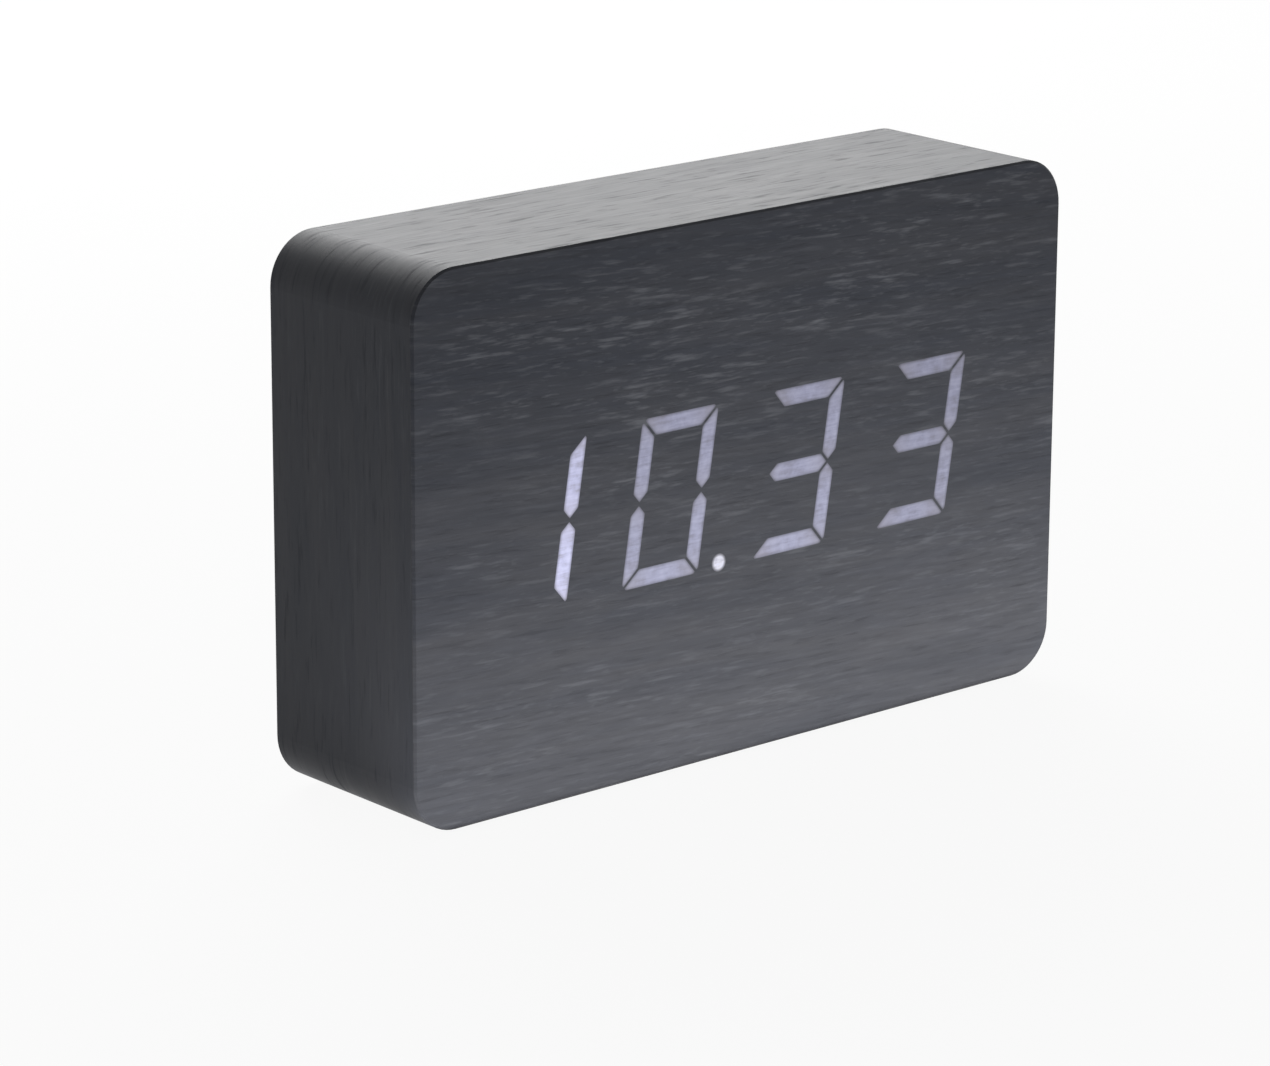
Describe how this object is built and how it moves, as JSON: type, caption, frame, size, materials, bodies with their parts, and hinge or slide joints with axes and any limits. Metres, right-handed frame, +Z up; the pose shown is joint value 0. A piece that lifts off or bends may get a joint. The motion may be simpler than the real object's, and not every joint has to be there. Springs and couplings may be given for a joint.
{
  "type": "digital alarm clock",
  "caption": "Free-standing rectangular alarm clock: a black wood-veneered block with white light digits shining through its face, set buttons, battery bay and power inlet in its back.",
  "frame": {"origin": "centre of the footprint, on the surface that the feet stand on", "axes": "+X to the clock's right seen from the front, +Y from the front face to the back, +Z up"},
  "size_m": [0.15, 0.0384, 0.098],
  "materials": {
    "mdf": "raw routed fibreboard",
    "black_veneer": "black-stained open-grain veneer, matt lacquer",
    "lit_segment": "white light through thin veneer",
    "diffuser_white": "matt translucent film",
    "reflector_black": "moulded, fine satin",
    "board_green": "solder mask over glass fibre",
    "led_white": "moulded chip package",
    "screw_steel": "zinc plated",
    "screw_black": "black oxide",
    "header_white": "natural nylon",
    "ribbon_grey": "flexible PVC",
    "black_plastic": "fine spark texture",
    "insulation_red": "flexible PVC",
    "insulation_black": "flexible PVC",
    "chip_black": "moulded epoxy",
    "can_aluminium": "drawn can",
    "chip_ceramic": "glazed chip",
    "buzzer_black": "moulded",
    "sensor_epoxy": "dipped epoxy",
    "socket_black": "moulded",
    "contact_nickel": "nickel plated spring steel",
    "foot_rubber": "matt",
    "cell_jacket": "plain printed sleeve",
    "switch_black": "moulded",
    "plunger_white": "moulded",
    "button_grey": "moulded, satin"
  },
  "bodies": {
    "clock_case": {"battery_cell_1": "cell_jacket", "battery_cell_2": "cell_jacket", "battery_cell_3": "cell_jacket", "battery_cell_4": "cell_jacket", "battery_lead_black": "insulation_black", "battery_lead_red": "insulation_red", "board_screws": "screw_steel", "buzzer": "buzzer_black", "chip_resistors": "chip_ceramic", "clock_crystal": "can_aluminium", "contact_link_1": "contact_nickel", "contact_link_2": "contact_nickel", "contact_link_3": "contact_nickel", "contact_negative": "contact_nickel", "contact_positive": "contact_nickel", "controller_chip": "chip_black", "cover_screws": "screw_black", "dc_socket": "socket_black", "dc_socket_pin": "contact_nickel", "diffuser_film": "diffuser_white", "display_board": "board_green", "display_driver": "chip_black", "display_header": "header_white", "display_reflector": "reflector_black", "display_ribbon": "ribbon_grey", "display_screws": "screw_steel", "down_switch_body": "switch_black", "driver_transistors": "chip_black", "foot_front_left": "foot_rubber", "foot_front_right": "foot_rubber", "foot_rear_left": "foot_rubber", "foot_rear_right": "foot_rubber", "front_veneer": "black_veneer", "lit_digit_hour_tens": "lit_segment", "lit_digit_hours": "lit_segment", "lit_digit_minute_tens": "lit_segment", "lit_digit_minutes": "lit_segment", "lit_point": "lit_segment", "main_board": "board_green", "main_header": "header_white", "mdf_core": "mdf", "microphone": "can_aluminium", "rear_cover": "black_plastic", "rear_veneer": "black_veneer", "segment_leds": "led_white", "set_switch_body": "switch_black", "supply_capacitor": "can_aluminium", "temperature_sensor": "sensor_epoxy", "up_switch_body": "switch_black", "veneer_band": "black_veneer"},
    "battery_door": {"battery_door": "black_plastic"},
    "set_button": {"set_button": "button_grey", "set_switch_plunger": "plunger_white"},
    "up_button": {"up_button": "button_grey", "up_switch_plunger": "plunger_white"},
    "down_button": {"down_button": "button_grey", "down_switch_plunger": "plunger_white"}
  },
  "joints": [
    {"name": "battery_door_hinge", "type": "hinge", "parent": "clock_case", "child": "battery_door", "pos_m": [-0.0593, 0.01795, 0.0495], "axis": [0, 0, 1], "range_deg": [0, 60]},
    {"name": "set_button_press", "type": "slide", "parent": "clock_case", "child": "set_button", "axis": [0, -1, 0], "range_m": [0, 0.0005], "stiffness_N_per_m": 400, "springref_m": -0.001},
    {"name": "up_button_press", "type": "slide", "parent": "clock_case", "child": "up_button", "axis": [0, -1, 0], "range_m": [0, 0.0005], "stiffness_N_per_m": 400, "springref_m": -0.001},
    {"name": "down_button_press", "type": "slide", "parent": "clock_case", "child": "down_button", "axis": [0, -1, 0], "range_m": [0, 0.0005], "stiffness_N_per_m": 400, "springref_m": -0.001}
  ]
}
